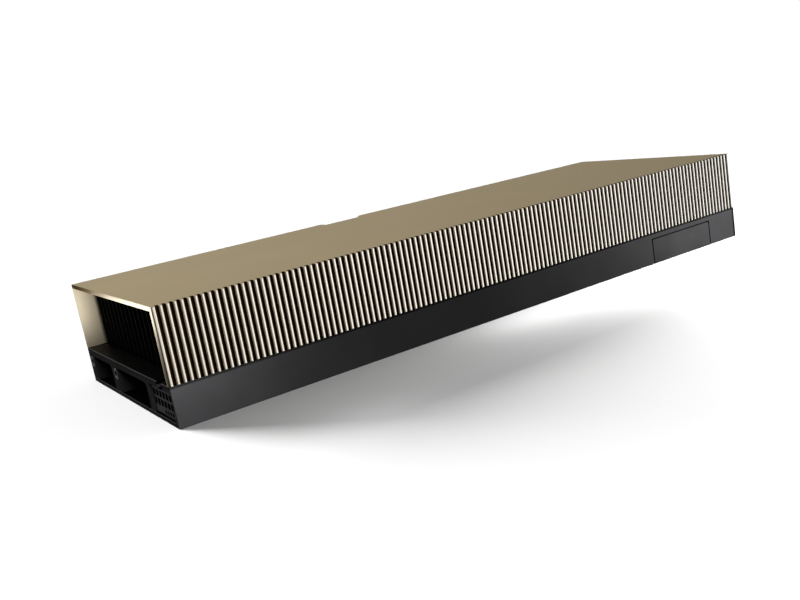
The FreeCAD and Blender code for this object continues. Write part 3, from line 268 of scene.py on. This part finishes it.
def board():
    """Dark solder mask over copper tracks and vias, with the glass laminate bare on the cut edges."""
    g = fresh("board")
    tracks = []
    for scale, turn in ((260.0, 0.0), (520.0, 90.0)):
        place = g.add("ShaderNodeMapping")
        g.link(g.coord, place.inputs["Vector"])
        place.inputs["Rotation"].default_value = (0.0, 0.0, math.radians(turn))
        n = g.add("ShaderNodeTexBrick")
        g.link(place.outputs[0], n.inputs["Vector"])
        n.inputs["Scale"].default_value = scale
        n.inputs["Mortar Size"].default_value = 0.06
        n.inputs["Mortar Smooth"].default_value = 0.4
        n.inputs["Brick Width"].default_value = 2.6
        n.inputs["Row Height"].default_value = 0.42
        tracks.append(n.outputs["Fac"])
    lines = g.math("MAXIMUM", tracks[0], g.math("MULTIPLY", tracks[1], 0.7))
    vias = g.math("LESS_THAN", g.cells(620.0), 0.16)
    broad = g.noise(90.0, 3.0, 0.5)
    mask = g.ramp(broad, [(0.35, (0.006, 0.015, 0.012)), (0.65, (0.010, 0.022, 0.017))])
    top = g.mix(g.math("MULTIPLY", lines, 0.65), mask, (0.020, 0.046, 0.034))
    top = g.mix(g.math("MULTIPLY", vias, 0.8), top, (0.055, 0.085, 0.050))
    normal = g.add("ShaderNodeSeparateXYZ")
    g.link(g.add("ShaderNodeNewGeometry").outputs["Normal"], normal.inputs[0])
    edge = g.math("LESS_THAN", g.math("ABSOLUTE", normal.outputs["Z"]), 0.55)
    weave = g.ramp(g.noise(2400.0, 3.0, 0.7, vector=g.stretch((1.0, 1.0, 6.0))), [(0.3, (0.060, 0.052, 0.026)), (0.7, (0.115, 0.100, 0.052))])
    g.set(color=g.mix(edge, top, weave), rough=g.span(broad, 0.40, 0.30, 0.3, 0.7),
          normal=g.bump(g.math("ADD", lines, g.math("MULTIPLY", vias, 0.6)), 0.5, 1.5e-5))
    MATS["board"] = g.mat


def make_materials():
    gold()
    g = metal("black_frame", (0.008, 0.008, 0.0083), (0.012, 0.012, 0.0125), 0.55, metallic=0.0, grain=5200.0, bump=0.16, depth=8e-6, spec=0.028)
    parts = g.add("ShaderNodeSeparateXYZ")
    g.link(g.coord, parts.inputs[0])
    open_face_tone = g.shader.inputs["Base Color"].links[0].from_socket
    # painted shade: the pockets near the inlet end are painted near-black
    back = g.math("SUBTRACT", parts.outputs["Y"], Y0)
    inside = g.math("MULTIPLY", g.math("GREATER_THAN", back, 0.8 * MM), g.math("LESS_THAN", back, 93.8 * MM))
    near_end = g.math("LESS_THAN", g.math("SUBTRACT", parts.outputs["X"], X0), 20.0 * MM)
    # painted shadow: a near-black line with little specular along the seam under the ribs, on everything above it
    painted_seam_shadow = g.math("GREATER_THAN", parts.outputs["Z"], 12.65 * MM)
    g.set(color=g.mix(g.math("MAXIMUM", painted_seam_shadow, g.math("MULTIPLY", inside, near_end)), open_face_tone, (0.0032, 0.0032, 0.0034)),
          spec=g.span(painted_seam_shadow, 0.028, 0.004))
    plastic("black_cover", (0.008, 0.008, 0.0083), (0.012, 0.012, 0.0125), 0.55, spec=0.035)
    g = metal("black_anodised", (0.005, 0.005, 0.005), (0.009, 0.009, 0.0095), 0.50, metallic=0.0, grain=5200.0, spec=0.06)
    parts = g.add("ShaderNodeSeparateXYZ")
    g.link(g.coord, parts.inputs[0])
    under = g.math("LESS_THAN", parts.outputs["Z"], 0.4 * MM)
    dull = g.shader.inputs["Base Color"].links[0].from_socket
    brushed = g.ramp(g.noise(900.0, 4.0, 0.7, vector=g.stretch((0.05, 1.0, 1.0))), [(0.3, (0.016, 0.016, 0.017)), (0.7, (0.034, 0.034, 0.036))])
    # painted shade: the duct floor near the inlet is painted darker, with less specular
    mouth = g.math("MULTIPLY", g.math("LESS_THAN", g.math("SUBTRACT", parts.outputs["X"], X0), 26.0 * MM),
                   g.math("LESS_THAN", parts.outputs["Z"], 14.4 * MM))
    normal = g.add("ShaderNodeSeparateXYZ")
    g.link(g.add("ShaderNodeNewGeometry").outputs["Normal"], normal.inputs[0])
    # painted highlight: a thin bright line painted on the broken front edge of the duct floor
    painted_edge_line = g.math("MULTIPLY", g.math("LESS_THAN", g.math("SUBTRACT", parts.outputs["X"], X0), 0.4 * MM),
                  g.math("MULTIPLY", g.math("GREATER_THAN", normal.outputs["Z"], 0.25), g.math("LESS_THAN", normal.outputs["Z"], 0.97)))
    tone = g.mix(under, g.mix(mouth, dull, (0.0028, 0.0027, 0.0025)), brushed)
    g.set(color=g.mix(painted_edge_line, tone, (0.22, 0.21, 0.20)),
          spec=g.math("ADD", g.span(under, 0.05, 0.45), g.math("ADD", g.math("MULTIPLY", mouth, -0.03), g.math("MULTIPLY", painted_edge_line, 0.3))))
    g = metal("black_steel", (0.010, 0.010, 0.0105), (0.018, 0.018, 0.019), 0.45, metallic=0.1, grain=3800.0, bump=0.2, depth=1e-5, spec=0.22)
    normal = g.add("ShaderNodeSeparateXYZ")
    g.link(g.add("ShaderNodeNewGeometry").outputs["Normal"], normal.inputs[0])
    # painted shade: faces not facing along X are painted near-black, with little specular
    cut = g.math("LESS_THAN", g.math("ABSOLUTE", normal.outputs["X"]), 0.6)
    face = g.shader.inputs["Base Color"].links[0].from_socket
    g.set(color=g.mix(cut, face, (0.002, 0.002, 0.002)), spec=g.span(cut, 0.22, 0.03))
    metal("copper", (0.50, 0.24, 0.13), (0.68, 0.36, 0.21), 0.28, grain=3000.0)
    metal("contact_gold", (0.72, 0.50, 0.16), (0.86, 0.64, 0.26), 0.22, grain=9000.0)
    g = metal("insert_dark", (0.030, 0.029, 0.027), (0.050, 0.048, 0.045), 0.34, grain=6000.0)
    normal = g.add("ShaderNodeSeparateXYZ")
    g.link(g.add("ShaderNodeNewGeometry").outputs["Normal"], normal.inputs[0])
    # painted glint: upward-facing faces are painted pale
    lit = g.span(normal.outputs["Z"], 0.0, 1.0, 0.1, 0.7)
    g.set(color=g.mix(lit, g.shader.inputs["Base Color"].links[0].from_socket, (0.60, 0.58, 0.54)))
    metal("screw_black", (0.030, 0.030, 0.033), (0.055, 0.055, 0.058), 0.36, metallic=0.9, grain=6000.0)
    metal("screw_steel", (0.46, 0.45, 0.43), (0.64, 0.63, 0.61), 0.30, grain=4200.0)
    metal("can", (0.58, 0.58, 0.58), (0.72, 0.72, 0.72), 0.30, grain=3000.0)
    metal("tin", (0.58, 0.57, 0.53), (0.74, 0.73, 0.69), 0.28, grain=5000.0)
    plastic("nylon_black", (0.004, 0.004, 0.004), (0.007, 0.007, 0.007), 0.36, grain=3400.0, spec=0.13)
    plastic("chip_black", (0.012, 0.012, 0.013), (0.024, 0.024, 0.025), 0.52, grain=5200.0)
    plastic("package", (0.020, 0.060, 0.036), (0.034, 0.085, 0.052), 0.42)
    plastic("silicon", (0.10, 0.11, 0.14), (0.16, 0.17, 0.21), 0.12, grain=900.0, bump=0.01)
    plastic("pad_grey", (0.26, 0.28, 0.31), (0.34, 0.36, 0.39), 0.75, grain=1600.0)
    plastic("ferrite", (0.055, 0.055, 0.057), (0.095, 0.095, 0.098), 0.55, grain=3800.0)
    plastic("film", (0.030, 0.030, 0.032), (0.045, 0.045, 0.047), 0.35, grain=700.0)
    board()


def dress_cad():
    for name, ob in nodes.items():
        for s in ob.material_slots:
            base = s.material.name.split(".")[0]
            if base in MATS:
                s.material = MATS[base]


def slot_of(name):
    return nodes[name].material_slots[0].material.name.split(".")[0]


# ------------------------------------------------------------ finer meshes
def settle(ob, sharp=28.0):
    """Applies the modifiers."""
    graph = bpy.context.evaluated_depsgraph_get()
    me = bpy.data.meshes.new_from_object(ob.evaluated_get(graph), depsgraph=graph)
    old = ob.data
    ob.modifiers.clear()
    ob.data = me
    me.name = ob.name
    bpy.data.meshes.remove(old)
    return ob


def finer(name, width, segments=2, limit=32.0):
    """The node's own surfaces as clean n-gons, with every sharp edge broken by a small round."""
    slot = slot_of(name)
    me = bpy.data.meshes.new(name + "_finish")
    bm = bmesh.new()
    bm.from_mesh(nodes[name].data)
    bmesh.ops.remove_doubles(bm, verts=bm.verts, dist=2e-6)
    bmesh.ops.dissolve_degenerate(bm, dist=1e-7, edges=bm.edges)
    bmesh.ops.dissolve_limit(bm, angle_limit=math.radians(0.4), use_dissolve_boundaries=False,
                             verts=bm.verts, edges=bm.edges)
    for f in bm.faces:
        f.smooth = True
        f.material_index = 0
    bm.to_mesh(me)
    bm.free()
    me.materials.clear()
    me.materials.append(MATS[slot])
    ob = bpy.data.objects.new(name + "_finish", me)
    scene.collection.objects.link(ob)
    m = ob.modifiers.new("edges", "BEVEL")
    m.width = width * MM
    m.segments = segments
    m.limit_method = "ANGLE"
    m.angle_limit = math.radians(limit)
    m.use_clamp_overlap = False
    m.miter_outer = "MITER_SHARP"
    w = ob.modifiers.new("shading", "WEIGHTED_NORMAL")
    w.mode = "FACE_AREA"
    w.weight = 85
    w.keep_sharp = True
    settle(ob)
    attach(ob, "root")
    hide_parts(name)
    return ob


# ------------------------------------------------------------ floor, light
def make_stage():
    me = bpy.data.meshes.new("studio_floor")
    bm = bmesh.new()
    s = 30.0
    vs = [bm.verts.new(p) for p in ((-s, -s, 0), (s, -s, 0), (s, s, 0), (-s, s, 0))]
    bm.faces.new(vs)
    bm.to_mesh(me)
    bm.free()
    floor = bpy.data.objects.new("studio_floor", me)
    scene.collection.objects.link(floor)
    g = Graph(bpy.data.materials.new("floor_white"))
    g.set(color=(0.55, 0.55, 0.55), rough=0.95, spec=0.0)
    me.materials.append(g.mat)
    floor.visible_diffuse = False
    floor.visible_glossy = False
    floor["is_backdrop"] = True
    return floor


def only_on(light, *receivers):
    coll = bpy.data.collections.new(light.name + "_receivers")
    for ob in receivers:
        coll.objects.link(ob)
    light.light_linking.receiver_collection = coll


def lamp(name, kind, energy, place=(0, 0, 1), aim=(0, 0, 0), size=(1.0, 1.0), angle=0.0, color=(1, 1, 1)):
    data = bpy.data.lights.new(name, kind)
    data.energy = energy
    data.color = color
    if kind == "AREA":
        data.shape = "RECTANGLE"
        data.size, data.size_y = size
    if kind == "SUN":
        data.angle = math.radians(angle)
    ob = bpy.data.objects.new(name, data)
    scene.collection.objects.link(ob)
    ob.location = place
    ob.rotation_euler = (Vector(aim) - Vector(place)).to_track_quat("-Z", "Y").to_euler()
    ob.visible_camera = False
    return ob


def toward(azimuth, elevation):
    a, e = math.radians(azimuth), math.radians(elevation)
    return (math.cos(a) * math.cos(e), math.sin(a) * math.cos(e), math.sin(e))


WORLD_BASE = (0.05, 0.05, 0.05)
# direction, sharpness, radiance
LOBES = [
    (toward(-45, -5), 5.0, 1.74),
    (toward(100, 5), 5.0, 0.20),
    (toward(80, 20), 4.0, 0.34),
    (toward(0, 80), 3.0, 0.20),
]
SKY = 0.26                             # an even light above the horizon


def make_world():
    world = bpy.data.worlds.new("studio")
    scene.world = world
    world.use_nodes = True
    t = world.node_tree
    t.nodes.clear()
    out = t.nodes.new("ShaderNodeOutputWorld")
    seen = t.nodes.new("ShaderNodeBackground")
    seen.inputs["Color"].default_value = (1, 1, 1, 1)
    seen.inputs["Strength"].default_value = 1.05
    lit = t.nodes.new("ShaderNodeBackground")
    lit.inputs["Strength"].default_value = 1.0
    path = t.nodes.new("ShaderNodeLightPath")
    mix = t.nodes.new("ShaderNodeMixShader")
    t.links.new(path.outputs["Is Camera Ray"], mix.inputs[0])
    t.links.new(lit.outputs[0], mix.inputs[1])
    t.links.new(seen.outputs[0], mix.inputs[2])
    t.links.new(mix.outputs[0], out.inputs["Surface"])
    coord = t.nodes.new("ShaderNodeTexCoord")
    total = None
    for direction, power, strength in LOBES:
        d = Vector(direction).normalized()
        dot = t.nodes.new("ShaderNodeVectorMath")
        dot.operation = "DOT_PRODUCT"
        t.links.new(coord.outputs["Generated"], dot.inputs[0])
        dot.inputs[1].default_value = d
        top = t.nodes.new("ShaderNodeMath")
        top.operation = "MAXIMUM"
        t.links.new(dot.outputs["Value"], top.inputs[0])
        top.inputs[1].default_value = 0.0
        pw = t.nodes.new("ShaderNodeMath")
        pw.operation = "POWER"
        t.links.new(top.outputs[0], pw.inputs[0])
        pw.inputs[1].default_value = power
        mul = t.nodes.new("ShaderNodeMath")
        mul.operation = "MULTIPLY_ADD"
        t.links.new(pw.outputs[0], mul.inputs[0])
        mul.inputs[1].default_value = strength
        if total is None:
            mul.inputs[2].default_value = WORLD_BASE[0]
        else:
            t.links.new(total, mul.inputs[2])
        total = mul.outputs[0]
    up = t.nodes.new("ShaderNodeSeparateXYZ")
    t.links.new(coord.outputs["Generated"], up.inputs[0])
    sky = t.nodes.new("ShaderNodeMapRange")
    sky.interpolation_type = "SMOOTHSTEP"
    t.links.new(up.outputs["Z"], sky.inputs["Value"])
    sky.inputs["From Min"].default_value = 0.0
    sky.inputs["From Max"].default_value = 0.22
    sky.inputs["To Min"].default_value = 0.0
    sky.inputs["To Max"].default_value = SKY
    both = t.nodes.new("ShaderNodeMath")
    both.operation = "ADD"
    t.links.new(total, both.inputs[0])
    t.links.new(sky.outputs[0], both.inputs[1])
    t.links.new(both.outputs[0], lit.inputs["Color"])


def make_light(floor, pieces):
    # the floor has its own lamps, so that it reads as white with one soft shadow
    az, el = math.radians(113.5), math.radians(18.5)
    sun = lamp("floor_key", "SUN", 14.0, place=(math.cos(az) * math.cos(el), math.sin(az) * math.cos(el), math.sin(el)), angle=30.0)
    only_on(sun, floor)
    for name, watts, x, y, z, wide in (("floor_near", 0.0145, 0.026, 0.012, 0.022, 0.09), ("floor_mid", 0.145, 0.105, 0.035, 0.045, 0.10),
                                       ("floor_end", 0.52, 0.17, 0.085, 0.090, 0.12)):
        side = lamp(name, "AREA", watts, place=(x, Y0 - y, z), aim=(x, Y0 - y, 0.0), size=(wide, z * 0.6))
        only_on(side, floor)
    front = lamp("floor_front", "AREA", 0.0019, place=(-0.100, Y0 - 0.052, 0.020), aim=(-0.100, Y0 - 0.052, 0.0), size=(0.03, 0.015))
    only_on(front, floor)
    # a rim light for the black edges around the inlet
    rim = lamp("rim", "AREA", 0.030, place=(X0 - 0.041, Y0 + 0.193, 0.122), aim=(X0, Y0 + 0.030, 0.013), size=(0.02, 0.02))
    only_on(rim, pieces["heatsink_base"], pieces["base_frame"], pieces["power_connector"], pieces["rear_inserts"])
    # the black base gets a light near each end, and the duct's mouth its own
    base = [pieces["base_frame"], pieces["bridge_cover"]]
    left = lamp("base_left", "AREA", 0.25, place=(X0 - 0.010, Y0 - 0.036, 0.045), aim=(X0, Y0, 0.008), size=(0.02, 0.02))
    only_on(left, *base)
    right = lamp("base_right", "AREA", 0.62, place=(0.142, Y0 - 0.074, 0.038), aim=(0.138, Y0, 0.006), size=(0.03, 0.03))
    only_on(right, *base)
    mouth = lamp("mouth", "AREA", 0.0028, place=(X0 + 0.0045, Y0 + 0.062, 0.026), aim=(X0 + 0.0045, Y0 + 0.094, 0.026), size=(0.008, 0.022))
    only_on(mouth, pieces["shroud"])
    lip = lamp("lip", "AREA", 0.016, place=(X0 - 0.036, Y0 + 0.152, 0.008), aim=(X0, Y0 + 0.010, 0.036), size=(0.03, 0.015))
    only_on(lip, pieces["shroud"])


make_camera()
make_materials()
PIECES = {name: finer(name, width, seg) for name, width, seg in (
    ("shroud", 0.035, 2), ("base_frame", 0.10, 2), ("bridge_cover", 0.12, 2), ("heatsink_base", 0.12, 2),
    ("cooling_fins", 0.06, 2), ("end_plate", 0.12, 2), ("power_connector", 0.07, 2), ("backplate", 0.10, 2),
    ("circuit_board", 0.05, 1), ("backplate_screws", 0.06, 2), ("end_plate_screws", 0.06, 2), ("shroud_screws", 0.06, 2),
    ("rear_inserts", 0.12, 2))}
dress_cad()
floor = make_stage()
make_world()
make_light(floor, PIECES)
scene.view_settings.view_transform = "Standard"
scene.view_settings.look = "None"

bpy.context.view_layer.update()
